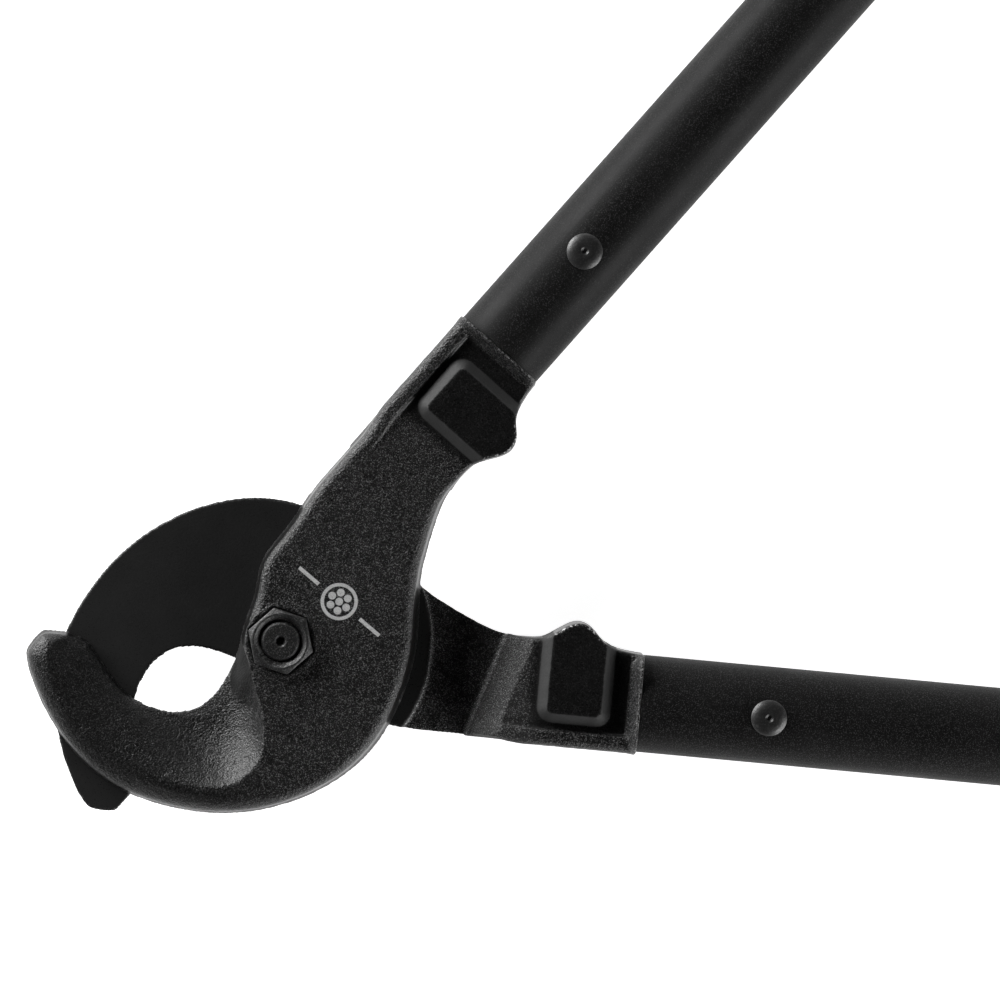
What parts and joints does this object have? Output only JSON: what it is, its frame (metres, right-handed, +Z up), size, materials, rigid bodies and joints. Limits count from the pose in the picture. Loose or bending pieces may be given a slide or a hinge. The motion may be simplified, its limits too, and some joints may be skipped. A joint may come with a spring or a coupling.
{
  "type": "cable cutter",
  "caption": "Long-handled shear-type cable cutter: two hooked forged jaws on one pivot bolt, tubular handles, rubber grips.",
  "frame": {"origin": "on the pivot axis, at the underside of the pivot bolt's head, where the tool rests when it lies flat", "axes": "+X from the pivot towards the handles along the centre line between them, +Y towards the front lever's handle, +Z up along the pivot axis, out of the front jaw"},
  "size_m": [0.5675, 0.5398, 0.038],
  "materials": {
    "forged_steel": "black coated, as-forged grain, satin",
    "fibreglass": "black pultruded tube, satin, fine grain",
    "core_steel": "bare drawn tube",
    "rivet": "black, semi-gloss",
    "grip_rubber": "black, ribbed, matte",
    "cap_plastic": "black, fine texture",
    "pivot_steel": "black oxide, worn edges",
    "washer_steel": "oiled spring steel"
  },
  "bodies": {
    "rear_lever": {"rear_jaw": "forged_steel", "rear_handle_tube": "fibreglass", "rear_handle_core": "core_steel", "rear_rivet_pin": "rivet", "rear_rivet_barrel": "rivet", "rear_grip": "grip_rubber", "rear_end_cap": "cap_plastic", "pivot_washer": "washer_steel"},
    "front_lever": {"front_jaw": "forged_steel", "front_handle_tube": "fibreglass", "front_handle_core": "core_steel", "front_rivet_pin": "rivet", "front_rivet_barrel": "rivet", "front_grip": "grip_rubber", "front_end_cap": "cap_plastic", "pivot_bolt": "pivot_steel", "pivot_nut": "pivot_steel", "pivot_spring_washer": "washer_steel"}
  },
  "joints": [
    {"name": "jaw_pivot", "type": "hinge", "parent": "rear_lever", "child": "front_lever", "pos_m": [0, 0, 0.019], "axis": [0, 0, 1], "range_deg": [-35.5, 96]}
  ]
}
